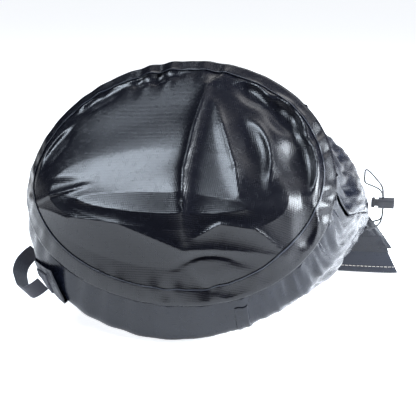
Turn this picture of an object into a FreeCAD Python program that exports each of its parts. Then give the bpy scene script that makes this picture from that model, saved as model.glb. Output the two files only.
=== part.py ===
"""Dry bag of PVC tarpaulin, resting on its slack side wall with the base panel up.

Frame: +Z up, floor at Z = 0, origin at the middle of the footprint.
+X runs along the mouth, -Y is the side where the base panel faces up and out.
The wall is a tube with a changing oval section.  Each section is an ellipse whose
long axis lies along X and whose short axis is tilted up from +Y by its own angle.
"""

import FreeCAD
import Part
import Sketcher

import math
import os

V = FreeCAD.Vector
X_AXIS = V(1, 0, 0)

doc = FreeCAD.newDocument("DryBag")

# ---------------------------------------------------------------- dimensions

SIZES = {
    # gauges of the sheet goods
    "wall_gauge": 3.0,
    "patch_gauge": 1.6,
    "web_gauge": 2.0,
    "thread_gauge": 0.8,
    # rim where the base panel is welded to the wall
    "rim_half_width": 198.0,
    "rim_half_height": 183.0,
    "rim_y": -77.0,
    "rim_z": 178.5,
    "rim_tilt": 50.0,
    "margin_width": 18.0,
    "margin_gauge": 3.0,
    # wall sections behind the rim
    "front_half_width": 207.0,
    "front_half_height": 186.0,
    "front_y": -56.0,
    "front_z": 143.5,
    "front_tilt": 49.5,
    "belly_half_width": 214.0,
    "belly_half_height": 164.0,
    "belly_y": 27.0,
    "belly_z": 127.0,
    "belly_tilt": 51.4,
    "rear_half_width": 232.0,
    "rear_half_height": 125.4,
    "rear_y": 115.0,
    "rear_z": 99.5,
    "rear_tilt": 53.3,
    # neck, where the closing cord runs
    "neck_half_width": 230.0,
    "neck_half_height": 41.0,
    "neck_y": 158.0,
    "neck_z": 92.0,
    "neck_tilt": -6.0,
    # in the fold of the throat the inner skin is set over, so the skins never cross
    "rear_lining_y": -2.0,
    "rear_lining_z": 1.0,
    "neck_lining_y": 0.0,
    "neck_lining_z": 6.0,
    # flattened collar and its stiffened hem
    "collar_half_width": 266.0,
    "collar_half_height": 12.0,
    "collar_y": 156.0,
    "collar_z": 38.5,
    "hem_half_width": 276.0,
    "hem_half_height": 10.0,
    "hem_top_half_width": 258.0,
    "hem_top_half_height": 7.5,
    "hem_top_z": 37.5,
    "hem_bottom_z": 1.0,
    "hem_gauge": 1.2,
    "stiffener_half_length": 205.0,
    "stiffener_height": 24.0,
    "stitch_height": 9.0,
    # domed base panel: three sections that stand out from the rim
    "dome_low_rise": 20.0,
    "dome_low_drop": 18.0,
    "dome_low_half_width": 178.0,
    "dome_low_half_height": 121.0,
    "dome_mid_rise": 42.0,
    "dome_mid_drop": 38.0,
    "dome_mid_half_width": 150.0,
    "dome_mid_half_height": 62.0,
    "dome_top_rise": 58.0,
    "dome_top_drop": 56.0,
    "dome_top_half_width": 105.0,
    "dome_top_half_height": 14.0,
    # lap weld along the wall
    "lap_x": 95.0,
    "lap_width": 18.0,
    # closing cord and its channel
    "cord_diameter": 2.6,
    "cord_half_width": 249.6,
    "cord_half_depth": 33.4,
    "cord_end_radius": 20.0,
    "cord_exit_x": 227.0,
    "channel_y": 158.7,
    "channel_z": 70.0,
    "channel_diameter": 6.4,
    "tunnel_diameter": 3.6,
    # cord lock
    "lock_x": 250.0,
    "lock_y": 158.0,
    "lock_z": 106.0,
    "lock_strand_gap": 6.4,
    "lock_length": 23.0,
    "lock_depth": 20.0,
    "lock_height": 13.0,
    "lock_bore_depth": 14.4,
    "lock_bore_height": 8.0,
    "lock_hole_diameter": 3.8,
    "button_travel": 4.0,
    "button_length": 21.0,
    "button_cap_depth": 17.0,
    "button_cap_height": 11.5,
    "button_cap_length": 5.0,
    "spring_diameter": 6.0,
    "spring_bore": 4.4,
    "spring_length": 7.1,
    # side handle
    "handle_width": 22.0,
    "handle_span": 100.0,
    "handle_rise": 46.0,
    "handle_corner": 30.0,
    "handle_standoff": 9.0,
}


def make_sheet():
    sheet = doc.addObject("Spreadsheet::Sheet", "dims")
    for row, (alias, value) in enumerate(SIZES.items(), start=1):
        sheet.set("A%d" % row, alias)
        sheet.set("B%d" % row, str(value))
        sheet.setAlias("B%d" % row, alias)
    doc.recompute()
    return sheet


dims = make_sheet()


def size(alias):
    return float(getattr(dims, alias))


# ------------------------------------------------------------------- helpers


def place_section(ellipse, prefix, shift_y="0", shift_z="0"):
    """Puts an ellipse at the section's centre and tilts its short axis."""
    ellipse.Placement = FreeCAD.Placement(V(0, 0, 0), FreeCAD.Rotation(X_AXIS, 10))
    ellipse.setExpression("Placement.Base.y", "dims.%s_y + %s" % (prefix, shift_y))
    ellipse.setExpression("Placement.Base.z", "dims.%s_z + %s" % (prefix, shift_z))
    ellipse.setExpression("Placement.Rotation.Angle", "dims.%s_tilt" % prefix)


def section(name, prefix, grow, back=0.0):
    """One oval of the wall, grown by a sheet thickness, moved back off the rim."""
    ellipse = doc.addObject("Part::Ellipse", name)
    ellipse.setExpression("MajorRadius", "dims.%s_half_width + (%s)" % (prefix, grow))
    ellipse.setExpression("MinorRadius", "dims.%s_half_height + (%s)" % (prefix, grow))
    place_section(
        ellipse,
        prefix,
        "%f * sin(dims.%s_tilt)" % (back, prefix),
        "-%f * cos(dims.%s_tilt)" % (back, prefix),
    )
    return ellipse


def flat_section(name, prefix, height, grow):
    """A level oval of the hem at a given height above the floor."""
    ellipse = doc.addObject("Part::Ellipse", name)
    ellipse.setExpression("MajorRadius", "dims.%s_half_width + (%s)" % (prefix, grow))
    ellipse.setExpression("MinorRadius", "dims.%s_half_height + (%s)" % (prefix, grow))
    ellipse.Placement = FreeCAD.Placement(V(0, 0, 0), FreeCAD.Rotation())
    ellipse.setExpression("Placement.Base.y", "dims.collar_y")
    ellipse.setExpression("Placement.Base.z", height)
    return ellipse


def dome_section(name, step, grow):
    """An oval of the base panel, out from the rim and down along its slope."""
    ellipse = doc.addObject("Part::Ellipse", name)
    width = "dims.dome_%s_half_width + (%s)" % (step, grow)
    height = "dims.dome_%s_half_height + (%s)" % (step, grow)
    rise = "(dims.dome_%s_rise + (%s))" % (step, grow)
    drop = "dims.dome_%s_drop" % step
    ellipse.setExpression("MajorRadius", width)
    ellipse.setExpression("MinorRadius", height)
    place_section(
        ellipse,
        "rim",
        "(-%s * sin(dims.rim_tilt) - %s * cos(dims.rim_tilt))" % (rise, drop),
        "(%s * cos(dims.rim_tilt) - %s * sin(dims.rim_tilt))" % (rise, drop),
    )
    return ellipse


def loft(name, sections, ruled=False):
    skin = doc.addObject("Part::Loft", name)
    skin.Sections = sections
    skin.Solid = True
    skin.Ruled = ruled
    return skin


def cut(name, base, tool):
    result = doc.addObject("Part::Cut", name)
    result.Base = base
    result.Tool = tool
    return result


def common(name, base, tool):
    result = doc.addObject("Part::Common", name)
    result.Base = base
    result.Tool = tool
    return result


def box(name, low, high):
    block = doc.addObject("Part::Box", name)
    block.Length = high[0] - low[0]
    block.Width = high[1] - low[1]
    block.Height = high[2] - low[2]
    block.Placement = FreeCAD.Placement(V(*low), FreeCAD.Rotation())
    return block


def compound(name, links):
    group = doc.addObject("Part::Compound", name)
    group.Links = links
    return group


def plane_of(body, role):
    for feature in body.Origin.OriginFeatures:
        if feature.Role == role:
            return feature
    raise ValueError(role)


def new_body(name):
    body = doc.addObject("PartDesign::Body", name)
    body.Label = name
    return body


def new_sketch(body, name, role="XY_Plane", rise="0"):
    sketch = body.newObject("Sketcher::SketchObject", name)
    sketch.AttachmentSupport = [(plane_of(body, role), "")]
    sketch.MapMode = "FlatFace"
    sketch.setExpression("AttachmentOffset.Base.z", rise)
    return sketch


def add_rectangle(sketch, width, height, centre_x="0", centre_y="0"):
    """A rectangle whose width, height and middle are bound to the sheet."""
    first = sketch.GeometryCount
    corners = [V(-1, -1, 0), V(1, -1, 0), V(1, 1, 0), V(-1, 1, 0)]
    for i in range(4):
        sketch.addGeometry(Part.LineSegment(corners[i], corners[(i + 1) % 4]), False)
    for i in range(4):
        nxt = first + (i + 1) % 4
        sketch.addConstraint(Sketcher.Constraint("Coincident", first + i, 2, nxt, 1))
    sketch.addConstraint(Sketcher.Constraint("Horizontal", first))
    sketch.addConstraint(Sketcher.Constraint("Horizontal", first + 2))
    sketch.addConstraint(Sketcher.Constraint("Vertical", first + 1))
    sketch.addConstraint(Sketcher.Constraint("Vertical", first + 3))
    rules = [
        ("DistanceX", first, 1, first, 2, width),
        ("DistanceY", first + 1, 1, first + 1, 2, height),
        ("DistanceX", first, 1, -1, 1, "(%s) / 2 - (%s)" % (width, centre_x)),
        ("DistanceY", first, 1, -1, 1, "(%s) / 2 - (%s)" % (height, centre_y)),
    ]
    for kind, g1, p1, g2, p2, rule in rules:
        index = sketch.addConstraint(Sketcher.Constraint(kind, g1, p1, g2, p2, 1.0))
        sketch.setExpression("Constraints[%d]" % index, rule)


def add_circle(sketch, diameter, centre_x, centre_y):
    first = sketch.addGeometry(Part.Circle(V(0, 0, 0), V(0, 0, 1), 1.0), False)
    index = sketch.addConstraint(Sketcher.Constraint("Radius", first, 1.0))
    sketch.setExpression("Constraints[%d]" % index, "(%s) / 2" % diameter)
    for kind, rule in (("DistanceX", centre_x), ("DistanceY", centre_y)):
        index = sketch.addConstraint(Sketcher.Constraint(kind, -1, 1, first, 3, 1.0))
        sketch.setExpression("Constraints[%d]" % index, rule)


def pad(body, sketch, name, length, midplane=False):
    feature = body.newObject("PartDesign::Pad", name)
    feature.Profile = sketch
    feature.setExpression("Length", length)
    feature.Midplane = midplane
    return feature


def pocket(body, sketch, name, length, midplane=False, reversed_=False):
    feature = body.newObject("PartDesign::Pocket", name)
    feature.Profile = sketch
    feature.setExpression("Length", length)
    feature.Midplane = midplane
    feature.Reversed = reversed_
    return feature


# ---------------------------------------------------------- wall of the bag

WALL_PREFIXES = ("rim", "front", "belly", "rear", "neck", "collar")
BODY_PREFIXES = WALL_PREFIXES[:4]
LINED_PREFIXES = ("rear", "neck")


def set_lining_over(oval, prefix):
    """Moves an inner section by its own small step."""
    oval.setExpression("Placement.Base.y", "dims.%s_y + dims.%s_lining_y" % (prefix, prefix))
    oval.setExpression("Placement.Base.z", "dims.%s_z + dims.%s_lining_z" % (prefix, prefix))


def wall_ovals(name, grow, prefixes=WALL_PREFIXES, lining=False):
    """The wall's sections from rim to collar, grown outwards or inwards."""
    ovals = []
    for prefix in prefixes:
        back = size("margin_gauge") + 0.2 if prefix == "rim" else 0.0
        if prefix == "collar":
            oval = flat_section("%s_%s" % (name, prefix), prefix, "dims.collar_z", grow)
        else:
            oval = section("%s_%s" % (name, prefix), prefix, grow, back)
        if lining and prefix in LINED_PREFIXES:
            set_lining_over(oval, prefix)
        ovals.append(oval)
    return ovals


OVAL_CORNERS = ((1, 0), (1, 1), (0, 1), (-1, 1), (-1, 0), (-1, -1), (0, -1), (1, -1), (1, 0))


def oval_poles(oval):
    """The nine control points of an exact oval, from its +X end round to it again."""
    major = oval.MajorRadius.Value
    minor = oval.MinorRadius.Value
    return [oval.Placement.multVec(V(x * major, y * minor, 0)) for x, y in OVAL_CORNERS]


def ruled_face(first, second):
    """A ruled sheet between two ovals, matched point for point from their +X ends."""
    weights = [math.sqrt(0.5) if x and y else 1.0 for x, y in OVAL_CORNERS]
    surface = Part.BSplineSurface()
    surface.buildFromPolesMultsKnots(
        [oval_poles(first), oval_poles(second)],
        [2, 2],
        [3, 2, 2, 2, 3],
        [0.0, 1.0],
        [0.0, 0.25, 0.5, 0.75, 1.0],
        False,
        False,
        1,
        2,
        [weights, weights],
    )
    return surface.toShape()


def sleeve(name, outer_ovals, inner_ovals):
    """A closed tube of sheet between two rows of sections."""
    doc.recompute()
    faces = []
    for row in (outer_ovals, inner_ovals):
        faces += [ruled_face(first, second) for first, second in zip(row, row[1:])]
    for end in (0, -1):
        faces.append(ruled_face(outer_ovals[end], inner_ovals[end]))
    shell = Part.makeShell(faces)
    shell.sewShape()
    tube = doc.addObject("Part::Feature", name)
    tube.Shape = Part.makeSolid(shell)
    return tube


def make_side_wall():
    outside = wall_ovals("wall_outside", "0")
    inside = wall_ovals("wall_inside", "-dims.wall_gauge", lining=True)
    tube = sleeve("wall_tube", outside, inside)
    wall = cut("side_wall", tube, box("floor_cut", (-400, -400, -80), (400, 400, 0)))
    return wall, outside


def skin_patch(name, layer, regions):
    """A piece of sheet that lies on the wall, one per region."""
    pieces = []
    for i, (low, high) in enumerate(regions):
        block = box("%s_region_%d" % (name, i), low, high)
        pieces.append(common("%s_piece_%d" % (name, i), layer, block))
    if len(pieces) == 1:
        pieces[0].Label = name
        return pieces[0]
    return compound(name, pieces)


# -------------------------------------------------------------- base and rim


def make_base_panel():
    def dome(name, grow):
        rim = section(name + "_rim", "rim", grow, 0.0)
        steps = [dome_section("%s_%s" % (name, s), s, grow) for s in ("low", "mid", "top")]
        return loft(name, [rim] + steps)

    return cut("base_panel", dome("base_outside", "0"), dome("base_inside", "-dims.wall_gauge"))


def make_rim_margin():
    """The welded margin that stands out around the base panel."""

    def disc(name, grow, front, back):
        return loft(name, [
            section(name + "_front", "rim", grow, front),
            section(name + "_back", "rim", grow, back),
        ])

    depth = size("margin_gauge") + 0.1
    ring = disc("margin_ring", "4", 0.1, depth)
    hole = disc("margin_hole", "4 - dims.margin_width", -1.0, depth + 1.0)
    return cut("rim_margin", ring, hole)


# --------------------------------------------------------------- hem and mouth


def hem_tube(name, outside, inside):
    """A flattened tube of hem sheet over the hem's whole height."""

    def solid(label, grow):
        return loft(label, [
            flat_section(label + "_low", "hem", "dims.hem_bottom_z", grow),
            flat_section(label + "_high", "hem_top", "dims.hem_top_z", grow),
        ])

    return cut(name, solid(name + "_outside", outside), solid(name + "_inside", inside))


def make_hem():
    """Outer band, two stiffener strips, the facing inside and one row of stitching."""
    gauge = size("hem_gauge")
    band = hem_tube("hem_band", "0", "-dims.hem_gauge")
    core = hem_tube("stiffener_core", str(-gauge - 0.3), str(-gauge - 1.5))
    facing = hem_tube("hem_facing", str(-gauge - 1.8), str(-gauge - 2.8))
    thread = hem_tube("thread_core", str(size("thread_gauge") + 0.15), "0.15")
    reach = size("stiffener_half_length")
    y = size("collar_y")
    low = size("hem_bottom_z") + 5
    high = low + size("stiffener_height")
    front_box = box("stiffener_front_region", (-reach, y - 40, low), (reach, y, high))
    back_box = box("stiffener_back_region", (-reach, y, low), (reach, y + 40, high))
    row = size("hem_bottom_z") + size("stitch_height")
    slab = box("stitch_region", (-400, 0, row), (400, 300, row + size("thread_gauge")))
    front = common("hem_stiffener_front", core, front_box)
    back = common("hem_stiffener_back", core, back_box)
    stitching = common("hem_stitching", thread, slab)
    return [band, front, back, facing, stitching]


# ------------------------------------------------------- closing cord and channel


def channel_frame():
    return FreeCAD.Placement(
        V(0, size("channel_y"), size("channel_z")), FreeCAD.Rotation()
    )


def oval_numbers():
    """Half-axes and arc radii of the four-arc oval that the cord follows."""
    half_x = size("cord_half_width")
    half_y = size("cord_half_depth")
    r = size("cord_end_radius")
    c = half_x - r
    big = (c * c + half_y * half_y - r * r) / (2 * (half_y - r))
    return half_x, half_y, r, c, big


def oval_y(x):
    half_x, half_y, r, c, big = oval_numbers()
    return math.sqrt(big * big - x * x) - (big - half_y)


def sweep_circle(wire, radius):
    """A round tube along a wire."""
    start = wire.Edges[0]
    point = start.valueAt(start.FirstParameter)
    tangent = start.tangentAt(start.FirstParameter)
    ring = Part.Wire([Part.Circle(point, tangent, radius).toShape()])
    return wire.makePipeShell([ring], True, False)


def channel_wire(exit_x):
    """The line of the cord from the front exit, round the mouth, to the back exit."""
    half_x, half_y, r, c, big = oval_numbers()
    join = c * big / (big - r)
    join_y = oval_y(join)
    exit_y = oval_y(exit_x)

    def arc(start, end, middle):
        return Part.Arc(V(*start, 0), V(*middle, 0), V(*end, 0)).toShape()

    return Part.Wire([
        arc((exit_x, -exit_y), (-join, -join_y), (0, -half_y)),
        arc((-join, -join_y), (-join, join_y), (-half_x, 0)),
        arc((-join, join_y), (exit_x, exit_y), (0, half_y)),
    ])


def report_tube(name, wire, tube, radius):
    ratio = tube.Volume / (wire.Length * math.pi * radius * radius)
    print(name, "length", round(wire.Length, 1), "volume ratio", round(ratio, 4))


def make_closing_cord():
    radius = size("cord_diameter") / 2
    wire = channel_wire(size("cord_exit_x"))
    tube = sweep_circle(wire, radius)
    report_tube("closing_cord", wire, tube, radius)
    cord = doc.addObject("Part::Feature", "closing_cord")
    cord.Shape = tube
    cord.Placement = channel_frame()
    return cord


def make_cord_channel():
    """A sleeve of tarpaulin round the collar that guides the cord, open at the right."""
    wire = channel_wire(size("cord_exit_x"))
    outside = sweep_circle(wire, size("channel_diameter") / 2)
    tunnel = sweep_circle(wire, size("tunnel_diameter") / 2)
    sleeve_tube = doc.addObject("Part::Feature", "cord_channel")
    sleeve_tube.Shape = outside.cut(tunnel)
    sleeve_tube.Placement = channel_frame()
    return sleeve_tube


# ----------------------------------------------------------- cord lock

LOCK_PLACE = V(SIZES["lock_x"], SIZES["lock_y"], SIZES["lock_z"])


def make_lock_body():
    """Rounded block, its bore open at the left, two cord holes through it."""
    body = new_body("cord_lock_body")
    outline = new_sketch(body, "lock_outline", "YZ_Plane", "-7")
    add_rectangle(outline, "dims.lock_depth", "dims.lock_height")
    block = pad(body, outline, "lock_block", "dims.lock_length")
    bore = new_sketch(body, "lock_bore_outline", "YZ_Plane", "-7")
    add_rectangle(bore, "dims.lock_bore_depth", "dims.lock_bore_height")
    room = pocket(body, bore, "lock_bore", "dims.lock_length - 2.5", reversed_=True)
    holes = new_sketch(body, "lock_hole_centres", "XY_Plane")
    for side in ("", "-"):
        add_circle(holes, "dims.lock_hole_diameter", "0", side + "dims.lock_strand_gap / 2")
    through = pocket(body, holes, "lock_holes", "dims.lock_height * 2", midplane=True)
    doc.recompute()
    edges = []
    for i, edge in enumerate(through.Shape.Edges, start=1):
        mid = edge.valueAt((edge.FirstParameter + edge.LastParameter) / 2)
        along_x = abs(edge.tangentAt(edge.FirstParameter).x) > 0.99
        outer = abs(mid.y) > 9 and abs(mid.z) > 6
        if along_x and outer:
            edges.append("Edge%d" % i)
    fillet = body.newObject("PartDesign::Fillet", "lock_rounding")
    fillet.Base = (through, edges)
    fillet.Radius = 3.0
    body.Tip = fillet
    body.Placement = FreeCAD.Placement(LOCK_PLACE, FreeCAD.Rotation())
    return body


def make_lock_button():
    """Push button with a cap at the left and a long slot for each strand."""
    body = new_body("cord_lock_button")
    stem = new_sketch(body, "button_outline", "YZ_Plane", "-15")
    add_rectangle(stem, "dims.lock_bore_depth - 0.8", "dims.lock_bore_height - 0.8")
    pad(body, stem, "button_stem", "dims.button_length")
    cap = new_sketch(body, "button_cap_outline", "YZ_Plane", "-17")
    add_rectangle(cap, "dims.button_cap_depth", "dims.button_cap_height")
    pad(body, cap, "button_cap", "dims.button_cap_length")
    slots = new_sketch(body, "button_slot_outline", "XY_Plane")
    for side in ("", "-"):
        add_rectangle(
            slots,
            "dims.lock_hole_diameter + dims.button_travel",
            "dims.lock_hole_diameter",
            "-dims.button_travel / 2",
            side + "dims.lock_strand_gap / 2",
        )
    through = pocket(body, slots, "button_slots", "dims.lock_height * 2", midplane=True)
    doc.recompute()
    edges = []
    for i, edge in enumerate(through.Shape.Edges, start=1):
        mid = edge.valueAt((edge.FirstParameter + edge.LastParameter) / 2)
        if abs(mid.x + 17) < 0.01 and abs(edge.tangentAt(edge.FirstParameter).x) < 0.01:
            edges.append("Edge%d" % i)
    fillet = body.newObject("PartDesign::Fillet", "button_rounding")
    fillet.Base = (through, edges)
    fillet.Radius = 2.0
    body.Tip = fillet
    body.Placement = FreeCAD.Placement(LOCK_PLACE, FreeCAD.Rotation())
    return body


def make_lock_spring():
    """Envelope of the small spring between the button and the end of its bore."""
    rods = []
    for name, diameter in (("spring_outside", "spring_diameter"), ("spring_inside", "spring_bore")):
        rod = doc.addObject("Part::Cylinder", name)
        rod.setExpression("Radius", "dims.%s / 2" % diameter)
        rod.setExpression("Height", "dims.spring_length")
        rod.Placement = FreeCAD.Placement(
            LOCK_PLACE + V(6.2, 0, 0), FreeCAD.Rotation(V(0, 1, 0), 90)
        )
        rods.append(rod)
    return cut("cord_lock_spring", *rods)


# ------------------------------------------------------------ free cord tail

# From the channel's front exit, up through the lock, round the free loop that
# lies on the wall, down through the lock's other hole and into the rear exit.


def tail_route():
    exit_x = size("cord_exit_x")
    frame = channel_frame()
    front = frame.multVec(V(exit_x, -oval_y(exit_x), 0))
    back = frame.multVec(V(exit_x, oval_y(exit_x), 0))
    x = size("lock_x")
    y = size("lock_y")
    z = size("lock_z")
    half = size("lock_strand_gap") / 2
    up = [
        front,
        V(x - 8, front.y + 3, z - 33),
        V(x - 1, y - 9, z - 25),
        V(x, y - half, z - 15),
        V(x, y - half, z + 12),
        V(x - 4, y - 10, z + 22),
        V(x - 13, y - 25, z + 30),
        V(x - 21, y - 38, z + 36),
        V(x - 25, y - 50, z + 41),
    ]
    down = [
        V(x - 25, y - 55, z + 51),
        V(x - 25, y - 46, z + 60),
        V(x - 19, y - 32, z + 53),
        V(x - 11, y - 17, z + 40),
        V(x - 2, y - 2, z + 26),
        V(x, y + half, z + 12),
        V(x, y + half, z - 15),
        V(x - 1, y + 9, z - 25),
        V(x - 8, back.y - 4, z - 33),
        back,
    ]
    return up + down


def rounded_wire(points):
    """Straight runs joined by tangent arcs, each as large as its runs allow."""
    edges = []
    last = points[0]
    radii = []
    for before, corner, after in zip(points, points[1:], points[2:]):
        arm_in = before - corner
        arm_out = after - corner
        turn = math.pi - arm_in.getAngle(arm_out)
        reach = 0.45 * min(arm_in.Length, arm_out.Length)
        radii.append((round(reach / math.tan(turn / 2), 1), round(math.degrees(turn))))
        start = corner + V(arm_in).normalize() * reach
        end = corner + V(arm_out).normalize() * reach
        inward = (V(arm_in).normalize() + V(arm_out).normalize()).normalize()
        radius = reach / math.tan(turn / 2)
        middle = corner + inward * (radius / math.cos(turn / 2) - radius)
        edges.append(Part.LineSegment(last, start).toShape())
        edges.append(Part.Arc(start, middle, end).toShape())
        last = end
    edges.append(Part.LineSegment(last, points[-1]).toShape())
    return Part.Wire(edges), radii


def make_cord_tail():
    wire, radii = rounded_wire(tail_route())
    tube = sweep_circle(wire, size("cord_diameter") / 2)
    report_tube("cord_tail", wire, tube, size("cord_diameter") / 2)
    print("tail radii and turns", radii)
    print("tail route", [tuple(round(c, 1) for c in p) for p in tail_route()])
    tail = doc.addObject("Part::Feature", "cord_tail")
    tail.Shape = tube
    return tail


# ------------------------------------------------------------------- handle

HANDLE_MIDDLE = V(-182, -82, 62)
HANDLE_ALONG = V(50, -100, -18)
HANDLE_OUT = V(-47, -19, -39)


def handle_frame():
    """Local X along the two ends, local Y out from the wall, Z across the web."""
    along = V(HANDLE_ALONG).normalize()
    across = along.cross(HANDLE_OUT).normalize()
    out = across.cross(along).normalize()
    matrix = FreeCAD.Matrix(
        along.x, out.x, across.x, HANDLE_MIDDLE.x,
        along.y, out.y, across.y, HANDLE_MIDDLE.y,
        along.z, out.z, across.z, HANDLE_MIDDLE.z,
        0, 0, 0, 1,
    )
    return FreeCAD.Placement(matrix)


def u_outline(half, rise, corner, low):
    """Corner points and arc middles of one U line, open at the bottom."""
    k = corner * (1 - math.sqrt(0.5))
    return [
        V(-half, low, 0),
        V(-half, rise - corner, 0),
        V(-half + k, rise - k, 0),
        V(-half + corner, rise, 0),
        V(half - corner, rise, 0),
        V(half - k, rise - k, 0),
        V(half, rise - corner, 0),
        V(half, low, 0),
    ]


def make_handle():
    """Webbing bent to a U that stands out from the wall."""
    body = new_body("handle_webbing")
    sketch = new_sketch(body, "handle_outline", "XY_Plane", "-dims.handle_width / 2")
    half = size("handle_span") / 2
    rise = size("handle_rise")
    corner = size("handle_corner")
    gauge = size("web_gauge")
    low = size("handle_standoff")
    outer = u_outline(half, rise, corner, low)
    inner = u_outline(half - gauge, rise - gauge, corner - gauge, low)
    for line in (outer, inner):
        sketch.addGeometry(Part.LineSegment(line[0], line[1]), False)
        sketch.addGeometry(Part.Arc(line[1], line[2], line[3]), False)
        sketch.addGeometry(Part.LineSegment(line[3], line[4]), False)
        sketch.addGeometry(Part.Arc(line[4], line[5], line[6]), False)
        sketch.addGeometry(Part.LineSegment(line[6], line[7]), False)
    sketch.addGeometry(Part.LineSegment(outer[0], inner[0]), False)
    sketch.addGeometry(Part.LineSegment(outer[7], inner[7]), False)
    pad(body, sketch, "handle_web", "dims.handle_width")
    body.Placement = handle_frame()
    return body


# -------------------------------------------------------------------- build


def region(centre, reach):
    low = tuple(c - r for c, r in zip(centre, reach))
    high = tuple(c + r for c, r in zip(centre, reach))
    return low, high


def handle_ends():
    frame = handle_frame()
    half = size("handle_span") / 2
    return [frame.multVec(V(s * half, 0, 0)) for s in (-1, 1)]


def make_parts():
    side_wall, wall_out = make_side_wall()
    web_grow = "dims.patch_gauge + dims.web_gauge"
    patch_out = wall_ovals("patch_skin", "dims.patch_gauge", BODY_PREFIXES)
    web_out = wall_ovals("web_skin", web_grow, BODY_PREFIXES)
    tack_out = wall_ovals("tack_skin", web_grow + " + dims.thread_gauge", BODY_PREFIXES)
    patch_layer = sleeve("patch_layer", patch_out, wall_out[:len(BODY_PREFIXES)])
    web_layer = sleeve("web_layer", web_out, patch_out)
    tack_layer = sleeve("tack_layer", tack_out, web_out)
    lap_low = (size("lap_x") - size("lap_width") / 2, -118, 1.5)
    lap_high = (size("lap_x") + size("lap_width") / 2, 20, 90)
    ends = handle_ends()
    nodes = [side_wall, make_base_panel(), make_rim_margin()]
    nodes.append(skin_patch("side_lap_strip", patch_layer, [(lap_low, lap_high)]))
    nodes.append(skin_patch(
        "handle_patches", patch_layer, [region(p, (30, 26, 22)) for p in ends]))
    nodes.append(skin_patch(
        "handle_ends", web_layer, [region(p, (22, 16, 12)) for p in ends]))
    nodes.append(skin_patch(
        "handle_bar_tacks", tack_layer, [region(p, (22, 2, 9)) for p in ends]))
    nodes += make_hem()
    nodes.append(make_closing_cord())
    nodes.append(make_cord_tail())
    nodes += [make_lock_body(), make_lock_button(), make_lock_spring(), make_handle()]
    nodes.append(make_cord_channel())
    doc.recompute()
    return nodes


def check_wall_not_crossed(wall):
    """The wall's middle slice must leave the neck open between its two lips."""
    middle_y = size("neck_y")
    neck_z = size("neck_z")
    for height in (neck_z - 22, neck_z - 12, neck_z - 4):
        room = Part.makeBox(60, 40, 2, V(-30, middle_y - 20, height))
        if wall.Shape.common(room).Volume > 0.01:
            raise RuntimeError("the wall crosses the neck at height %.0f" % height)


def check_all(nodes):
    check_wall_not_crossed(nodes[0])
    for item in doc.Objects:
        for flag in ("Invalid", "Error"):
            if flag in item.State:
                raise RuntimeError("%s is %s" % (item.Name, flag))
    for node in nodes:
        if node.Shape.isNull() or not node.Shape.isValid():
            raise RuntimeError("%s has no valid shape" % node.Label)
        if not node.Shape.Solids or min(p.Volume for p in node.Shape.Solids) <= 0:
            raise RuntimeError("%s has an empty or inside-out solid" % node.Label)


def write_all(nodes):
    os.makedirs("parts", exist_ok=True)
    for node in nodes:
        node.Shape.exportStep("parts/%s.step" % node.Label)
        bounds = node.Shape.BoundBox
        print("%-20s solids %d volume %9.0f box x %.1f %.1f y %.1f %.1f z %.1f %.1f" % (
            node.Label, len(node.Shape.Solids), node.Shape.Volume,
            bounds.XMin, bounds.XMax, bounds.YMin, bounds.YMax, bounds.ZMin, bounds.ZMax))


parts = make_parts()
check_all(parts)
write_all(parts)
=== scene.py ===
"""Dry bag of black coated tarpaulin: the soft skins, trims and finishes."""

import math

import bmesh
import bpy
import numpy as np
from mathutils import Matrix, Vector


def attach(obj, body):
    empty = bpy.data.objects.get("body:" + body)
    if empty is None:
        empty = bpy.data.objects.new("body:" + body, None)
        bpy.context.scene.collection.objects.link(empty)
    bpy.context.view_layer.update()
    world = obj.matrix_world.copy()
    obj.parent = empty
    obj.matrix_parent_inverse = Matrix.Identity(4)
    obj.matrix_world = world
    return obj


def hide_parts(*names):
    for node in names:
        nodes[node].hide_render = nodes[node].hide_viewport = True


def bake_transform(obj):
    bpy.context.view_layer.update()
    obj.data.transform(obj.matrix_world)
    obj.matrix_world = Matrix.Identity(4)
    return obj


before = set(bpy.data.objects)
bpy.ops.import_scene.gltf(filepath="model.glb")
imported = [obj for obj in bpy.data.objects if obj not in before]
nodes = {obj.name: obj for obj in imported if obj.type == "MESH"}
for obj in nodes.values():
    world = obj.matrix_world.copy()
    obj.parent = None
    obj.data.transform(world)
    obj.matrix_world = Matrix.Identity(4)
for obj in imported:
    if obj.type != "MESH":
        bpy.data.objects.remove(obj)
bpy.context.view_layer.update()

# ------------------------------------------------------------ camera and cord

VIEW_AZIMUTH = math.radians(12)
VIEW_ELEVATION = math.radians(15)
VIEW_DISTANCE = 1.3
VIEW_TARGET = Vector((0.0394, -0.077, 0.148))
VIEW_LENS = 88.6

CORD_DIAMETER = 0.0026
CORD_POINT_RADIUS = 0.01
TAIL_ROUTE = (
    (0.227, 0.1383, 0.070),
    (0.242, 0.1413, 0.073),
    (0.249, 0.149, 0.081),
    (0.250, 0.1548, 0.091),
    (0.250, 0.1548, 0.118),
    (0.246, 0.148, 0.128),
    (0.237, 0.133, 0.136),
    (0.229, 0.120, 0.142),
    (0.225, 0.108, 0.147),
    (0.225, 0.103, 0.157),
    (0.225, 0.112, 0.166),
    (0.231, 0.126, 0.159),
    (0.239, 0.141, 0.146),
    (0.248, 0.156, 0.132),
    (0.250, 0.1612, 0.118),
    (0.250, 0.1612, 0.091),
    (0.249, 0.167, 0.081),
    (0.242, 0.1751, 0.073),
    (0.227, 0.1791, 0.070),
)


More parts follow.
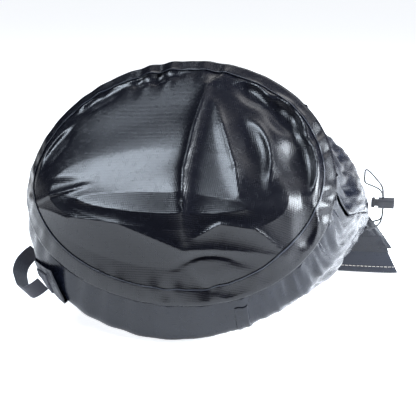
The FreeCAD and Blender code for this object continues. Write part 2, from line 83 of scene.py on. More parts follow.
def add_camera():
    data = bpy.data.cameras.new("camera")
    data.lens = VIEW_LENS
    data.sensor_width = 36
    camera = bpy.data.objects.new("camera", data)
    bpy.context.scene.collection.objects.link(camera)
    back = Vector((
        math.sin(VIEW_AZIMUTH) * math.cos(VIEW_ELEVATION),
        -math.cos(VIEW_AZIMUTH) * math.cos(VIEW_ELEVATION),
        math.sin(VIEW_ELEVATION),
    ))
    camera.location = VIEW_TARGET + VIEW_DISTANCE * back
    camera.rotation_euler = (-back).to_track_quat("-Z", "Y").to_euler()
    bpy.context.scene.camera = camera


def make_cord_tail():
    """The free loop of cord from the sleeve up through the lock and back."""
    curve = bpy.data.curves.new("cord_loop", "CURVE")
    curve.dimensions = "3D"
    curve.bevel_depth = CORD_DIAMETER / 2 / CORD_POINT_RADIUS
    curve.bevel_resolution = 4
    curve.resolution_u = 10
    curve.use_fill_caps = True
    spline = curve.splines.new("NURBS")
    spline.points.add(len(TAIL_ROUTE) - 1)
    for point, place in zip(spline.points, TAIL_ROUTE):
        point.co = (*place, 1.0)
        point.radius = CORD_POINT_RADIUS
    spline.order_u = 3
    spline.use_endpoint_u = True
    tail = bpy.data.objects.new("cord_loop", curve)
    bpy.context.scene.collection.objects.link(tail)
    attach(tail, "bag")
    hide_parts("cord_tail")
    return tail


add_camera()
cord_tail = make_cord_tail()

# ------------------------------------------------------------ node helpers


class Wires:
    """A short way to add and join a material's nodes."""

    def __init__(self, name):
        self.material = bpy.data.materials.new(name)
        self.material.use_nodes = True
        self.tree = self.material.node_tree
        self.shader = self.tree.nodes["Principled BSDF"]

    def add(self, kind, inputs=None, **settings):
        node = self.tree.nodes.new(kind)
        for key, value in settings.items():
            setattr(node, key, value)
        for key, value in (inputs or {}).items():
            if isinstance(value, bpy.types.NodeSocket):
                self.tree.links.new(value, node.inputs[key])
            else:
                node.inputs[key].default_value = value
        return node

    def math(self, operation, first, second=0.0):
        return self.add("ShaderNodeMath", {0: first, 1: second}, operation=operation).outputs[0]

    def ramp(self, value, low, high, to_low, to_high):
        inputs = {"Value": value, 1: low, 2: high, 3: to_low, 4: to_high}
        return self.add("ShaderNodeMapRange", inputs).outputs[0]

    def mix(self, factor, first, second):
        node = self.add("ShaderNodeMix", data_type="RGBA")
        for socket, value in ((0, factor), (6, first), (7, second)):
            if isinstance(value, bpy.types.NodeSocket):
                self.tree.links.new(value, node.inputs[socket])
            else:
                node.inputs[socket].default_value = value
        return node.outputs[2]

    def noise(self, vector, scale, detail=3.0):
        inputs = {"Vector": vector, "Scale": scale, "Detail": detail}
        return self.add("ShaderNodeTexNoise", inputs).outputs["Fac"]

    def threads(self, vector, axis, pitch):
        """0 to 1 across each thread of a weave, along one axis."""
        parts = self.add("ShaderNodeSeparateXYZ", {"Vector": vector}).outputs
        turns = self.math("MULTIPLY", parts[axis], 2 * math.pi / pitch)
        wave = self.math("SINE", turns)
        return self.ramp(wave, -1.0, 1.0, 0.0, 1.0)

    def bump(self, height, distance, strength=1.0, onto=None):
        inputs = {"Height": height, "Distance": distance, "Strength": strength}
        if onto is not None:
            inputs["Normal"] = onto
        return self.add("ShaderNodeBump", inputs).outputs["Normal"]

    def connect(self, value, socket):
        self.tree.links.new(value, self.shader.inputs[socket])

    def set(self, socket, value):
        self.shader.inputs[socket].default_value = value


SCRIM_PITCH = 0.0024


def tarpaulin(name, base, roughness, scrim_depth, use_uv=True):
    """Glossy coated fabric: the square scrim shows through, with scuffs."""
    w = Wires(name)
    coords = w.add("ShaderNodeTexCoord").outputs
    place = coords["Object"]
    weave_place = coords["UV"] if use_uv else place
    across = w.threads(weave_place, 0, SCRIM_PITCH)
    along = w.threads(weave_place, 1, SCRIM_PITCH)
    lattice = w.math("MAXIMUM", w.math("POWER", across, 3.0), w.math("POWER", along, 3.0))
    patchy = w.noise(place, 9.0, 4.0)
    scuff = w.noise(place, 120.0, 6.0)
    wander = w.noise(place, 34.0, 2.0)
    lighter = (base[0] * 1.8 + 0.003, base[1] * 1.8 + 0.003, base[2] * 1.8 + 0.005, 1)
    tint = w.mix(w.ramp(patchy, 0.3, 0.75, 0.0, 0.30), (*base, 1), lighter)
    w.connect(w.mix(w.math("MULTIPLY", lattice, 0.3), tint, lighter), "Base Color")
    worn = w.ramp(scuff, 0.35, 0.75, roughness - 0.03, roughness + 0.06)
    w.connect(w.math("ADD", worn, w.math("MULTIPLY", lattice, 0.05)), "Roughness")
    fine = w.bump(lattice, scrim_depth, 0.8)
    crinkle = w.bump(wander, 0.0006, 0.2, fine)
    w.connect(crinkle, "Normal")
    w.set("IOR", 1.54)
    w.set("Specular IOR Level", 0.26)
    w.set("Coat Weight", 0.10)
    w.set("Coat Roughness", 0.16)
    return w.material


def webbing(name, base):
    """Nylon webbing: close diagonal ribs with a slight sheen."""
    w = Wires(name)
    place = w.add("ShaderNodeTexCoord").outputs["Object"]
    first = w.add("ShaderNodeTexWave", {"Vector": place, "Scale": 260.0, "Distortion": 0.6})
    turned = w.add("ShaderNodeMapping", {"Vector": place, "Rotation": (0.6, 0.9, 0.8)})
    second = w.add("ShaderNodeTexWave", {"Vector": turned.outputs[0], "Scale": 300.0})
    ribs = w.math("MAXIMUM", first.outputs["Fac"], second.outputs["Fac"])
    lighter = tuple(c * 2.2 + 0.01 for c in base)
    w.connect(w.mix(ribs, (*base, 1), (*lighter, 1)), "Base Color")
    fuzz = w.noise(place, 400.0, 4.0)
    w.connect(w.ramp(fuzz, 0.2, 0.8, 0.62, 0.85), "Roughness")
    w.connect(w.bump(ribs, 0.0005, 0.8), "Normal")
    w.set("Sheen Weight", 0.25)
    w.set("Sheen Roughness", 0.4)
    return w.material


def braid(name, base, pitch):
    """Thread or cord: twisted strands, with painted shade on the dark side of each strand."""
    w = Wires(name)
    place = w.add("ShaderNodeTexCoord").outputs["Object"]
    inputs = {"Vector": place, "Scale": 1 / pitch, "Distortion": 1.5, "Detail": 1.0}
    strands = w.add("ShaderNodeTexWave", inputs, bands_direction="DIAGONAL").outputs["Fac"]
    # painted shade: the colour falls to 0.6 of the cord's own in the bands between strands
    strand_shade = tuple(c * 0.6 for c in base)
    w.connect(w.mix(strands, (*strand_shade, 1), (*base, 1)), "Base Color")
    w.connect(w.ramp(strands, 0.0, 1.0, 0.75, 0.5), "Roughness")
    w.connect(w.bump(strands, 0.0003, 0.8), "Normal")
    w.set("Sheen Weight", 0.15)
    return w.material


def moulded(name, base):
    """Moulded plastic with a fine spark-eroded grain."""
    w = Wires(name)
    place = w.add("ShaderNodeTexCoord").outputs["Object"]
    grain = w.noise(place, 900.0, 3.0)
    cloud = w.noise(place, 60.0, 2.0)
    lighter = tuple(c * 1.6 + 0.004 for c in base)
    w.connect(w.mix(cloud, (*base, 1), (*lighter, 1)), "Base Color")
    w.connect(w.ramp(grain, 0.2, 0.8, 0.38, 0.55), "Roughness")
    w.connect(w.bump(grain, 0.00015, 0.5), "Normal")
    return w.material


def drawn_wire(name):
    """Bright drawn spring wire, with painted shade between its coil turns."""
    w = Wires(name)
    place = w.add("ShaderNodeTexCoord").outputs["Object"]
    turns = w.threads(place, 0, 0.0012)
    # painted shade: the metal's colour darkens from 0.62 to 0.18 in the gap between each pair of coil turns
    w.connect(w.mix(turns, (0.18, 0.18, 0.19, 1), (0.62, 0.62, 0.64, 1)), "Base Color")
    w.connect(w.ramp(w.noise(place, 300.0), 0.2, 0.8, 0.2, 0.4), "Roughness")
    w.connect(w.bump(turns, 0.0006, 1.0), "Normal")
    w.set("Metallic", 1.0)
    return w.material


def bare_floor(name):
    """Pale studio paper with a faint cloud in it."""
    w = Wires(name)
    place = w.add("ShaderNodeTexCoord").outputs["Object"]
    cloud = w.noise(place, 2.0, 2.0)
    w.connect(w.mix(cloud, (0.9, 0.91, 0.93, 1), (0.94, 0.945, 0.955, 1)), "Base Color")
    w.set("Roughness", 0.85)
    w.set("Emission Color", (0.95, 0.97, 1.0, 1))
    w.set("Emission Strength", 0.95)
    return w.material


PANEL_SKIN = tarpaulin("panel_tarpaulin", (0.0030, 0.0032, 0.0050), 0.21, 0.00012)
WALL_SKIN = tarpaulin("wall_tarpaulin", (0.004, 0.005, 0.009), 0.21, 0.00012)
CHANNEL_SKIN = tarpaulin("channel_tarpaulin", (0.004, 0.005, 0.009), 0.23, 0.00012, use_uv=False)
HEM_SKIN = tarpaulin("hem_tape", (0.009, 0.011, 0.018), 0.30, 0.00015)
STRAP_SKIN = webbing("strap_webbing", (0.012, 0.012, 0.018))
LIGHT_THREAD = braid("light_thread", (0.62, 0.56, 0.5), 0.0009)
DARK_THREAD = braid("dark_thread", (0.03, 0.03, 0.036), 0.0009)
CORD_SKIN = braid("cord_braid", (0.028, 0.028, 0.034), 0.0011)
LOCK_SKIN = moulded("lock_plastic", (0.018, 0.018, 0.022))
STRIP_SKIN = moulded("stiffener_strip", (0.42, 0.42, 0.44))
SPRING_SKIN = drawn_wire("spring_wire")

# ------------------------------------------------------------ skin helpers


MERGE_DISTANCE = 1e-6
SPECK = 1e-7


def mapped_skin(name, around, along, shape, body, material, closed=True, thickness=0.0):
    """A grid laid onto a surface; shape gives points and pattern metres for its two ways."""
    mesh = bpy.data.meshes.new(name)
    bm = bmesh.new()
    bm.loops.layers.uv.new("cloth")
    bmesh.ops.create_grid(bm, x_segments=around, y_segments=along, size=1.0)
    bm.verts.ensure_lookup_table()
    flat = np.array([v.co[:2] for v in bm.verts])
    ways = (flat + 1.0) / 2.0
    points, pattern = shape(ways[:, 0], ways[:, 1])
    layer = bm.loops.layers.uv[0]
    for face in bm.faces:
        for loop in face.loops:
            loop[layer].uv = pattern[loop.vert.index]
        face.smooth = True
    for vert, place in zip(bm.verts, points):
        vert.co = place
    if closed:
        bmesh.ops.remove_doubles(bm, verts=bm.verts, dist=MERGE_DISTANCE)
    bmesh.ops.dissolve_degenerate(bm, edges=bm.edges, dist=SPECK)
    bmesh.ops.recalc_face_normals(bm, faces=bm.faces)
    for face in bm.faces:
        face.smooth = True
    bm.to_mesh(mesh)
    bm.free()
    piece = bpy.data.objects.new(name, mesh)
    bpy.context.scene.collection.objects.link(piece)
    mesh.materials.append(material)
    if thickness:
        wall = piece.modifiers.new("thickness", "SOLIDIFY")
        wall.thickness = thickness
        wall.offset = -1.0
    if body:
        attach(piece, body)
    return piece


def soft_noise(x, y, seed, size, octaves=3):
    """Smooth crumple between -1 and 1, the same on every run."""
    rng = np.random.default_rng(seed)
    total = np.zeros_like(x)
    weight = 0.0
    for octave in range(octaves):
        share = 0.55 ** octave
        for _ in range(5):
            turn = rng.uniform(0, 2 * math.pi)
            start = rng.uniform(0, 2 * math.pi)
            rate = 2 * math.pi / (size * 0.55 ** octave * rng.uniform(0.75, 1.35))
            total += share * np.sin(rate * (x * math.cos(turn) + y * math.sin(turn)) + start)
        weight += share * 2.6
    return total / weight


def run_distance(x, y, run):
    """Distance from a bent line, and how far along it, 0 to 1."""
    best = np.full_like(x, 1e9)
    share = np.zeros_like(x)
    lengths = [math.dist(a, b) for a, b in zip(run, run[1:])]
    whole = sum(lengths)
    done = 0.0
    for (ax, ay), (bx, by), length in zip(run, run[1:], lengths):
        t = ((x - ax) * (bx - ax) + (y - ay) * (by - ay)) / length ** 2
        t = np.clip(t, 0, 1)
        d = np.hypot(x - ax - t * (bx - ax), y - ay - t * (by - ay))
        nearer = d < best
        best = np.where(nearer, d, best)
        share = np.where(nearer, (done + t * length) / whole, share)
        done += length
    return best, share


def crease(x, y, run, height, width, keep_ends=0.25):
    """A sharp pressed fold, highest in the middle of its run."""
    d, share = run_distance(x, y, run)
    fade = np.clip(np.minimum(share, 1 - share) / keep_ends, 0, 1)
    return height * (0.35 + 0.65 * fade) * np.exp(-np.abs(d) / width)


def buckle(x, y, middle, reach, turn, depth, open_to):
    """A dent with a raised crescent round one side of it."""
    c, s = math.cos(math.radians(turn)), math.sin(math.radians(turn))
    a = ((x - middle[0]) * c + (y - middle[1]) * s) / reach[0]
    b = (-(x - middle[0]) * s + (y - middle[1]) * c) / reach[1]
    r = np.hypot(a, b)
    towards = np.cos(np.arctan2(b, a) - math.radians(open_to))
    bowl = -depth * np.exp(-(r / 0.85) ** 3)
    lip = 0.8 * depth * np.exp(-((r - 1.05) / 0.24) ** 2) * np.clip(towards, 0, 1)
    return bowl + lip


# ------------------------------------------------------------ base panel

RIM_MIDDLE = np.array((0.0, -0.077, 0.1785))
RIM_TILT = math.radians(50)
RIM_UP = np.array((0.0, math.cos(RIM_TILT), math.sin(RIM_TILT)))
RIM_OUT = np.array((0.0, -math.sin(RIM_TILT), math.cos(RIM_TILT)))
MARGIN_WIDTH = 0.017
MARGIN_OVERHANG = 0.0030
MARGIN_GAUGE = 0.0008
BEAD_RADIUS = 0.0009
BEAD_LIFT = 0.0012

# half width, half height, slip down the slope and rise, from the rim inwards
PANEL_RINGS = (
    (0.000, 0.1980, 0.1830, 0.000, 0.000),
    (0.300, 0.1780, 0.1210, 0.018, 0.020),
    (0.600, 0.1500, 0.0620, 0.038, 0.042),
    (0.850, 0.1050, 0.0140, 0.056, 0.058),
    (1.000, 0.0000, 0.0000, 0.056, 0.058),
)

MAIN_FOLD = ((-0.185, -0.050), (-0.120, -0.078), (-0.050, -0.086), (0.030, -0.110), (0.150, -0.098))
TALL_RIDGE = ((0.045, 0.168), (0.024, 0.135), (0.020, 0.070), (0.020, -0.010), (0.033, -0.100))
SHORT_RIDGE = ((0.040, 0.105), (0.062, 0.050), (0.080, 0.005), (0.092, -0.040))
ARCH_FOLD = ((0.045, -0.095), (0.075, -0.080), (0.115, -0.080), (0.145, -0.092))
LOW_VALLEY = ((0.032, -0.100), (0.036, -0.128), (0.064, -0.145), (0.135, -0.158))
LEFT_FOLD = ((-0.180, -0.102), (-0.130, -0.128), (-0.055, -0.150), (0.015, -0.164))


def panel_sculpt(u, v):
    """Height of the folds and dents over the plain panel, in metres."""
    h = 0.0013 * soft_noise(u, v, 11, 0.16, 2)
    h += crease(u, v, MAIN_FOLD, 0.0085, 0.012)
    h += crease(u, v, TALL_RIDGE, 0.0105, 0.010)
    h += crease(u, v, SHORT_RIDGE, 0.0070, 0.009)
    h += crease(u, v, ARCH_FOLD, 0.0070, 0.007)
    h += crease(u, v, LOW_VALLEY, -0.0050, 0.013)
    h += crease(u, v, LEFT_FOLD, 0.0045, 0.012)
    h += buckle(u, v, (0.126, 0.092), (0.020, 0.040), 40, 0.0090, 10)
    h += buckle(u, v, (0.152, 0.022), (0.024, 0.050), 12, 0.0105, 0)
    h += buckle(u, v, (0.098, 0.030), (0.020, 0.048), 18, 0.0050, 5)
    h += buckle(u, v, (0.170, -0.060), (0.013, 0.026), -8, 0.0055, 0)
    h += buckle(u, v, (0.082, 0.126), (0.016, 0.028), 50, 0.0055, 20)
    h += buckle(u, v, (-0.118, 0.112), (0.034, 0.012), 42, 0.0035, 90)
    h += buckle(u, v, (-0.052, 0.148), (0.036, 0.010), 18, 0.0035, 90)
    h += buckle(u, v, (-0.160, 0.030), (0.012, 0.034), -20, 0.0035, 180)
    h += buckle(u, v, (-0.146, -0.036), (0.040, 0.012), 8, 0.0035, 270)
    h += buckle(u, v, (0.128, -0.140), (0.022, 0.009), 20, 0.0060, 270)
    h += buckle(u, v, (0.062, -0.124), (0.040, 0.013), 8, -0.0040, 90)
    return h


def rim_lift(turn):
    """How far the slack lower edge of the rim has ridden up its slope."""
    low = np.clip(-np.sin(turn), 0, 1) ** 1.5
    leftward = 0.75 - 0.35 * np.cos(turn)
    return 0.030 * low * leftward


def rim_puckers(turn, depth):
    """Short gathers that run out to the rim."""
    waves = np.sin(31 * turn + 1.6 * np.sin(3 * turn)) + 0.7 * np.sin(47 * turn + 0.9)
    patchy = 0.6 + 0.4 * np.sin(4 * turn + 0.7)
    return 0.0014 * depth * waves * patchy


def panel_points(turn, inward):
    """Plain panel plus folds, from the rim, 0, to the top of its ridge, 1."""
    steps = np.array(PANEL_RINGS)
    half_x, half_y, slip, rise = (np.interp(inward, steps[:, 0], steps[:, k]) for k in range(1, 5))
    rounder = 0.0035 * np.sin(np.clip(inward / 0.85, 0, 1) * math.pi)
    u = half_x * np.cos(turn)
    v = half_y * np.sin(turn) - slip
    v += rim_lift(turn) * np.clip(1 - inward / 0.7, 0, 1)
    fade = np.clip(inward / 0.12, 0, 1)
    near_rim = 1.35 * np.exp(-((inward - 0.07) / 0.10) ** 2)
    h = rise + rounder + fade * panel_sculpt(u, v) + rim_puckers(turn, near_rim)
    return u, v, h


def place_on_rim(u, v, h):
    return RIM_MIDDLE + u[:, None] * np.array((1.0, 0, 0)) + v[:, None] * RIM_UP + h[:, None] * RIM_OUT


def make_base_skin():
    def shape(a, b):
        turn = a * 2 * math.pi
        u, v, h = panel_points(turn, 0.04 + 0.96 * b)
        return place_on_rim(u, v, h), np.stack([u, v], 1)

    skin = mapped_skin("base_skin", 360, 150, shape, "bag", PANEL_SKIN)
    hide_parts("base_panel")
    return skin


def inward_at(turn, distance):
    """The share of the way in at which the panel is that far from its rim."""
    first, second = np.array(PANEL_RINGS[0]), np.array(PANEL_RINGS[1])
    change = (second - first) / (second[0] - first[0])
    across = change[1] * np.cos(turn)
    upward = change[2] * np.sin(turn) - change[3]
    return distance / np.hypot(across, upward)


def make_margin_skin():
    """The welded margin: a band round the rim that follows the panel under it."""

    def shape(a, b):
        turn = a * 2 * math.pi
        distance = -MARGIN_OVERHANG + (MARGIN_WIDTH + MARGIN_OVERHANG) * b
        u, v, h = panel_points(turn, inward_at(turn, np.maximum(distance, 0)))
        over = np.maximum(-distance, 0)
        lift = np.interp(b, [0.0, 0.15, 0.90, 1.0], [-0.0030, 0.0012, 0.0015, 0.0012])
        return place_on_rim(u + over * np.cos(turn), v + over * np.sin(turn), h + lift), np.stack([u, v], 1)

    skin = mapped_skin(
        "rim_margin_skin", 360, 14, shape, "bag", PANEL_SKIN, thickness=MARGIN_GAUGE,
    )
    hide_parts("rim_margin")
    return skin


def make_weld_bead():
    """The squeezed-out line of the weld along the margin's inner edge."""

    def shape(a, b):
        turn = a * 2 * math.pi
        ring = b * 2 * math.pi
        u, v, h = panel_points(turn, inward_at(turn, MARGIN_WIDTH + BEAD_RADIUS * np.cos(ring)))
        return place_on_rim(u, v, h + BEAD_LIFT + BEAD_RADIUS * np.sin(ring)), np.stack([u, v], 1)

    return mapped_skin("weld_bead", 420, 8, shape, "bag", HEM_SKIN)


# ------------------------------------------------------------ side wall

# middle y, middle z, tilt, half width, half height, from the rim to the mouth
WALL_RINGS = (
    (0.00, -0.0745, 0.1764, 50.0, 0.198, 0.183),
    (0.10, -0.0560, 0.1435, 49.5, 0.207, 0.186),
    (0.34, 0.0270, 0.1270, 51.4, 0.214, 0.164),
    (0.62, 0.1150, 0.0995, 53.3, 0.232, 0.1254),
    (0.82, 0.1580, 0.0920, -6.0, 0.230, 0.041),
    (1.00, 0.1560, 0.0385, 0.0, 0.266, 0.012),
)
FLOOR_CLEARANCE = 0.0004
WALL_GAUGE = 0.0010
LOCK_DENT = 0.0050
CLOTH_RADIUS = 0.2
CLOTH_LENGTH = 0.45


def wall_ring_point(ring, turn, out):
    """A point of one oval of the wall, with the folds added to its half sizes."""
    _, y, z, tilt, half_x, half_y = ring
    short = (half_y + out) * np.sin(turn)
    lean = math.radians(tilt)
    return np.stack([
        (half_x + out) * np.cos(turn),
        y + short * math.cos(lean),
        z + short * math.sin(lean),
    ], 1)


def wall_between(turn, along, out):
    """The wall drawn straight from each oval to the next."""
    points = np.zeros((len(turn), 3))
    for near, far in zip(WALL_RINGS, WALL_RINGS[1:]):
        held = (along >= near[0]) & (along <= far[0])
        share = ((along - near[0]) / (far[0] - near[0]))[:, None]
        mixed = (1 - share) * wall_ring_point(near, turn, out) + share * wall_ring_point(far, turn, out)
        points = np.where(held[:, None], mixed, points)
    slack = rim_lift(turn) * np.clip(1 - along / 0.11, 0, 1)
    return points + slack[:, None] * RIM_UP


def wall_folds(turn, along):
    """How far the wall stands out or in, in metres."""
    arc = turn * CLOTH_RADIUS
    length = along * CLOTH_LENGTH
    near_rim = np.exp(-along / 0.10)
    body = np.exp(-((along - 0.32) / 0.24) ** 2)
    throat = np.exp(-((along - 0.76) / 0.12) ** 2)
    right = np.clip(np.cos(turn), 0, 1) ** 1.5
    h = -0.0020 * near_rim * (1 + np.sin(31 * turn + 1.6 * np.sin(3 * turn)))
    slump = np.clip(np.cos(turn - 0.05), 0, 1) ** 2
    h += 0.0150 * slump * np.exp(-((along - 0.30) / 0.20) ** 2)
    h += 0.0046 * body * soft_noise(arc, length * 0.55, 21, 0.13)
    h += right * 0.0065 * np.exp(-along / 0.35) * soft_noise(arc * 1.9, length * 0.45, 8, 0.05)
    beside_lock = np.clip(np.cos(turn), 0, 1) ** 6 * np.exp(-((along - 0.78) / 0.10) ** 2)
    h -= LOCK_DENT * beside_lock
    h -= 0.0042 * throat * (0.5 + 0.5 * np.sin(34 * turn + 2.0 * np.sin(2 * turn)))
    return h


def wall_points(turn, along, off=0.0):
    """The wall, rounded where one oval gives way to the next, and flat on the floor."""
    out = wall_folds(turn, along) + off
    soft = 0.022
    points = 0.4 * wall_between(turn, along, out)
    points += 0.3 * wall_between(turn, np.clip(along - soft, 0, 1), out)
    points += 0.3 * wall_between(turn, np.clip(along + soft, 0, 1), out)
    ends = np.clip(np.minimum(along, 1 - along) / soft, 0, 1)[:, None]
    points = ends * points + (1 - ends) * wall_between(turn, along, out)
    low = points[:, 2] < FLOOR_CLEARANCE + 0.004
    pressed = FLOOR_CLEARANCE + 0.004 * np.exp(np.minimum(points[:, 2] - 0.0044, 0) / 0.004)
    points[:, 2] = np.where(low, pressed, points[:, 2])
    return points


def make_wall_skin():
    def shape(a, b):
        turn = a * 2 * math.pi
        return wall_points(turn, b), np.stack([turn * CLOTH_RADIUS, b * CLOTH_LENGTH], 1)

    skin = mapped_skin("wall_skin", 360, 110, shape, "bag", WALL_SKIN, thickness=WALL_GAUGE)
    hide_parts("side_wall")
    return skin


PATCH_GAUGE = 0.0006


def wall_patch(name, node, turn_range, along_range, off, material, counts=(24, 24)):
    """A flat piece welded or sewn onto the wall, following it."""

    def shape(a, b):
        turn = np.radians(turn_range[0] + (turn_range[1] - turn_range[0]) * a)
        along = along_range[0] + (along_range[1] - along_range[0]) * b
        edge = np.minimum(np.minimum(a, 1 - a), np.minimum(b, 1 - b))
        rise = off * np.clip(edge / 0.04, 0.35, 1)
        return wall_points(turn, along, rise), np.stack([turn * CLOTH_RADIUS, along * CLOTH_LENGTH], 1)

    patch = mapped_skin(name, counts[0], counts[1], shape, "bag", material,
                        closed=False, thickness=PATCH_GAUGE)
    if node:
        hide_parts(node)
    return patch


# ------------------------------------------------------------ side handle

HANDLE_MIDDLE = Vector((-0.182, -0.082, 0.062))
HANDLE_ALONG = Vector((0.050, -0.100, -0.018)).normalized()
HANDLE_ACROSS = HANDLE_ALONG.cross(Vector((-0.047, -0.019, -0.039))).normalized()
HANDLE_OUT = HANDLE_ACROSS.cross(HANDLE_ALONG).normalized()
STRAP_WIDTH = 0.022
STRAP_GAUGE = 0.0019
STRAP_LENGTH = 0.17
# along the ends, out from the wall, and turn of the webbing in degrees
STRAP_PATH = (
    (-0.0485, 0.0090, 0),
    (-0.0490, 0.0200, 4),
    (-0.0430, 0.0330, 14),
    (-0.0240, 0.0400, 24),
    (0.0030, 0.0390, 20),
    (0.0260, 0.0400, 6),
    (0.0440, 0.0330, -4),
    (0.0490, 0.0200, -2),
    (0.0485, 0.0090, 0),
)


def eased(path, share):
    """A smooth line through the middles of a row of points."""
    rows = np.array(path, float)
    places = np.linspace(0, 1, len(rows))
    width = 0.045
    steps = [np.clip(share + shift * width, 0, 1) for shift in (-1.5, -0.75, 0, 0.75, 1.5)]
    weights = (0.1, 0.2, 0.4, 0.2, 0.1)
    total = 0
    for step, weight in zip(steps, weights):
        total = total + weight * np.stack([np.interp(step, places, rows[:, k]) for k in range(3)], 1)
    ends = np.clip(np.minimum(share, 1 - share) / 0.07, 0, 1)[:, None]
    plain = np.stack([np.interp(share, places, rows[:, k]) for k in range(3)], 1)
    return ends * total + (1 - ends) * plain


def make_handle_strap():
    """Limp webbing loop, half twisted, with its edges rounded."""
    along_way = np.array(HANDLE_ALONG)
    across_way = np.array(HANDLE_ACROSS)
    out_way = np.array(HANDLE_OUT)

    def shape(a, b):
        ring = a * 2 * math.pi
        route = eased(STRAP_PATH, b)
        ahead = eased(STRAP_PATH, np.clip(b + 0.01, 0, 1)) - eased(STRAP_PATH, np.clip(b - 0.01, 0, 1))
        run = ahead[:, :1] * along_way + ahead[:, 1:2] * out_way
        run /= np.linalg.norm(run, axis=1)[:, None]
        face = np.cross(run, across_way)
        twist = np.radians(route[:, 2])[:, None]
        side = np.cos(twist) * across_way + np.sin(twist) * face
        normal = np.cross(side, run)
        wide = np.sign(np.cos(ring)) * np.abs(np.cos(ring)) ** 0.35 * STRAP_WIDTH / 2
        thick = np.sign(np.sin(ring)) * np.abs(np.sin(ring)) ** 0.8 * STRAP_GAUGE / 2
        place = np.array(HANDLE_MIDDLE) + route[:, :1] * along_way + route[:, 1:2] * out_way
        return place + wide[:, None] * side + thick[:, None] * normal, np.stack([wide, b * STRAP_LENGTH], 1)

    strap = mapped_skin("handle_strap", 28, 90, shape, "handle", STRAP_SKIN)
    bm = bmesh.new()
    bm.from_mesh(strap.data)
    bmesh.ops.holes_fill(bm, edges=[e for e in bm.edges if e.is_boundary])
    bmesh.ops.recalc_face_normals(bm, faces=bm.faces)
    bm.to_mesh(strap.data)
    bm.free()
    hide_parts("handle_webbing")
    return strap


# ------------------------------------------------------------ mouth and hem

HEM_Y = 0.156
HEM_GAUGE = 0.0010
FACING_INSET = 0.0032
FACING_GAUGE = 0.0008
TURN_LENGTH = 0.025
TURN_STARTS = 0.94
TURN_ENDS = 0.86
HEM_RINGS = ((0.0, 0.276, 0.0100, 0.0015), (1.0, 0.258, 0.0075, 0.0372))


def hem_points(turn, rise, off):
    half_x = np.interp(rise, [0, 1], [HEM_RINGS[0][1], HEM_RINGS[1][1]]) + off
    half_y = np.interp(rise, [0, 1], [HEM_RINGS[0][2], HEM_RINGS[1][2]]) + off
    z = np.interp(rise, [0, 1], [HEM_RINGS[0][3], HEM_RINGS[1][3]])
    sway = 0.0016 * np.sin(5 * np.cos(turn) + 0.6)
    return np.stack([half_x * np.cos(turn), HEM_Y + half_y * np.sin(turn) + sway, z], 1)


def make_hem_skin(name, node, off, thickness):
    def shape(a, b):
        turn = a * 2 * math.pi
        return hem_points(turn, b, off), np.stack([0.27 * np.cos(turn), 0.036 * b], 1)

    skin = mapped_skin(name, 300, 14, shape, "hem", HEM_SKIN, thickness=thickness)
    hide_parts(node)
    return skin


def make_mouth_turn():
    """The last of the wall's cloth, spanning between the throat and the hem."""

    def shape(a, b):
        turn = a * 2 * math.pi
        above = wall_points(turn, np.full_like(turn, TURN_STARTS), 0.0008)
        below = hem_points(turn, np.full_like(turn, TURN_ENDS), 0.0006)
        share = b[:, None]
        return (1 - share) * above + share * below, np.stack([turn * CLOTH_RADIUS, TURN_LENGTH * b], 1)

    piece = mapped_skin("mouth_turn", 300, 24, shape, None, WALL_SKIN)
    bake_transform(piece)
    return piece


STITCH_COUNT = 190
STITCH_LENGTH = 0.0042
STITCH_WIDTH = 0.0009
STITCH_RISE = 0.25


def make_hem_stitches():
    """One row of light thread round the hem, each stitch a short rounded bar."""
    mesh = bpy.data.meshes.new("hem_stitches")
    bm = bmesh.new()
    fine = np.linspace(0, 2 * math.pi, 4001)
    line = hem_points(fine, np.full_like(fine, STITCH_RISE), 0.0003)
    walked = np.concatenate([[0], np.cumsum(np.linalg.norm(np.diff(line, axis=0), axis=1))])
    for i in range(STITCH_COUNT):
        mark = walked[-1] * (i + 0.5) / STITCH_COUNT
        place = [np.interp(mark, walked, line[:, k]) for k in range(3)]
        ahead = [np.interp(mark + 0.002, walked, line[:, k]) for k in range(3)]
        way = (Vector(ahead) - Vector(place)).normalized()
        turned = way.to_track_quat("Z", "Y").to_matrix().to_4x4()
        bar = bmesh.ops.create_cone(
            bm, cap_ends=True, segments=6,
            radius1=STITCH_WIDTH / 2, radius2=STITCH_WIDTH / 2, depth=STITCH_LENGTH,
        )["verts"]
        bmesh.ops.rotate(bm, verts=bar, matrix=turned.to_3x3())
        bmesh.ops.translate(bm, verts=bar, vec=Vector(place))
    bmesh.ops.recalc_face_normals(bm, faces=bm.faces)
    bm.to_mesh(mesh)
    bm.free()
    mesh.materials.append(LIGHT_THREAD)
    row = bpy.data.objects.new("hem_stitches", mesh)
    bpy.context.scene.collection.objects.link(row)
    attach(row, "hem")
    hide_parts("hem_stitching")
    return row


# ------------------------------------------------------------ small sewn pieces

WORKED_EDGE = 0.0035
SHARP_TURN = 0.7


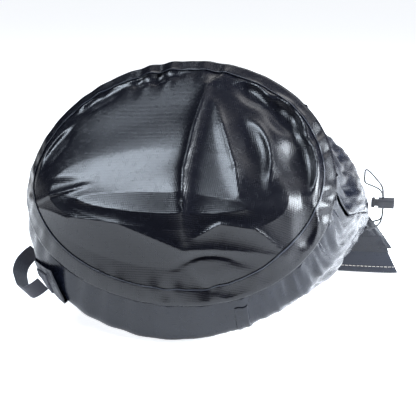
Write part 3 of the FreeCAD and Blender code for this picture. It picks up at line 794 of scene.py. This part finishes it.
def worked_piece(name, node, material, crumple, size, rounds=4):
    """A sewn piece from its plain shape: finer faces, smooth shading on its softer edges and a crumple."""
    bm = bmesh.new()
    bm.from_mesh(nodes[node].data)
    bmesh.ops.remove_doubles(bm, verts=bm.verts, dist=MERGE_DISTANCE)
    bmesh.ops.dissolve_degenerate(bm, edges=bm.edges, dist=SPECK)
    for _ in range(rounds):
        long_ones = [e for e in bm.edges if e.calc_length() > WORKED_EDGE]
        if not long_ones:
            break
        bmesh.ops.subdivide_edges(bm, edges=long_ones, cuts=1, use_grid_fill=True)
        bmesh.ops.triangulate(bm, faces=[f for f in bm.faces if len(f.verts) > 4])
    bmesh.ops.recalc_face_normals(bm, faces=bm.faces)
    bm.normal_update()
    place = np.array([v.co[:] for v in bm.verts])
    rise = crumple * soft_noise(place[:, 0] + 0.6 * place[:, 2], place[:, 1] - 0.4 * place[:, 2], 17, size)
    for vert, step in zip(bm.verts, rise):
        vert.co += vert.normal * step
    for face in bm.faces:
        face.smooth = True
    for edge in bm.edges:
        edge.smooth = len(edge.link_faces) == 2 and edge.calc_face_angle(0) < SHARP_TURN
    mesh = bpy.data.meshes.new(name)
    bm.to_mesh(mesh)
    bm.free()
    mesh.materials.append(material)
    piece = bpy.data.objects.new(name, mesh)
    bpy.context.scene.collection.objects.link(piece)
    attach(piece, "bag")
    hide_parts(node)
    return piece


# ------------------------------------------------------------ build

make_base_skin()
make_margin_skin()
make_weld_bead()
make_wall_skin()
make_handle_strap()
wall_patch("lap_weld", "side_lap_strip", (297, 302), (0.03, 0.56), 0.0016, WALL_SKIN, (8, 90))
make_hem_skin("hem_skin", "hem_band", 0.0, HEM_GAUGE)
make_hem_skin("hem_lining", "hem_facing", -FACING_INSET, FACING_GAUGE)
make_mouth_turn()
make_hem_stitches()
worked_piece("channel_sleeve", "cord_channel", CHANNEL_SKIN, 0.0003, 0.012)
worked_piece("handle_pads", "handle_patches", CHANNEL_SKIN, 0.0003, 0.020)
worked_piece("handle_tabs", "handle_ends", STRAP_SKIN, 0.0002, 0.010)

for node_name, material in (
    ("handle_bar_tacks", DARK_THREAD),
    ("hem_stiffener_front", STRIP_SKIN),
    ("hem_stiffener_back", STRIP_SKIN),
    ("closing_cord", CORD_SKIN),
    ("cord_lock_body", LOCK_SKIN),
    ("cord_lock_button", LOCK_SKIN),
    ("cord_lock_spring", SPRING_SKIN),
):
    slots = nodes[node_name].data.materials
    slots.clear()
    slots.append(material)
cord_tail.data.materials.append(CORD_SKIN)


def add_floor():
    mesh = bpy.data.meshes.new("floor")
    bm = bmesh.new()
    bmesh.ops.create_grid(bm, x_segments=2, y_segments=2, size=80.0)
    bm.to_mesh(mesh)
    bm.free()
    mesh.materials.append(bare_floor("floor_paper"))
    floor = bpy.data.objects.new("floor", mesh)
    bpy.context.scene.collection.objects.link(floor)


def add_light(name, place, target, size, power, colour=(1, 1, 1)):
    data = bpy.data.lights.new(name, "AREA")
    data.shape = "RECTANGLE"
    data.size = size[0]
    data.size_y = size[1]
    data.energy = power
    data.color = colour
    lamp = bpy.data.objects.new(name, data)
    lamp.location = place
    lamp.rotation_euler = (Vector(target) - Vector(place)).to_track_quat("-Z", "Y").to_euler()
    bpy.context.scene.collection.objects.link(lamp)


def add_room():
    """A dim ceiling and a pale horizon, so the gloss shows the window and the floor."""
    world = bpy.data.worlds.new("room")
    world.use_nodes = True
    tree = world.node_tree
    background = tree.nodes["Background"]
    place = tree.nodes.new("ShaderNodeTexCoord")
    parts = tree.nodes.new("ShaderNodeSeparateXYZ")
    fade = tree.nodes.new("ShaderNodeMapRange")
    for key, value in ((1, 0.01), (2, 0.16), (3, 0.95), (4, 0.012)):
        fade.inputs[key].default_value = value
    tree.links.new(place.outputs["Generated"], parts.inputs[0])
    tree.links.new(parts.outputs[2], fade.inputs[0])
    tree.links.new(fade.outputs[0], background.inputs["Strength"])
    background.inputs["Color"].default_value = (0.90, 0.94, 1.0, 1)
    bpy.context.scene.world = world
    add_light("window", (-0.78, -0.30, 1.70), (-0.05, -0.06, 0.25), (0.42, 1.10), 44, (0.78, 0.88, 1.0))
    add_light("right_window", (1.25, 0.05, 0.75), (0.2, 0.03, 0.15), (0.5, 1.1), 70, (0.86, 0.93, 1.0))
    add_light("ceiling_wash", (0.2, 1.5, 1.7), (0.0, 0.3, 0.0), (1.6, 0.9), 12)


add_floor()
add_room()
bpy.context.scene.view_settings.view_transform = "Standard"

bpy.context.view_layer.update()
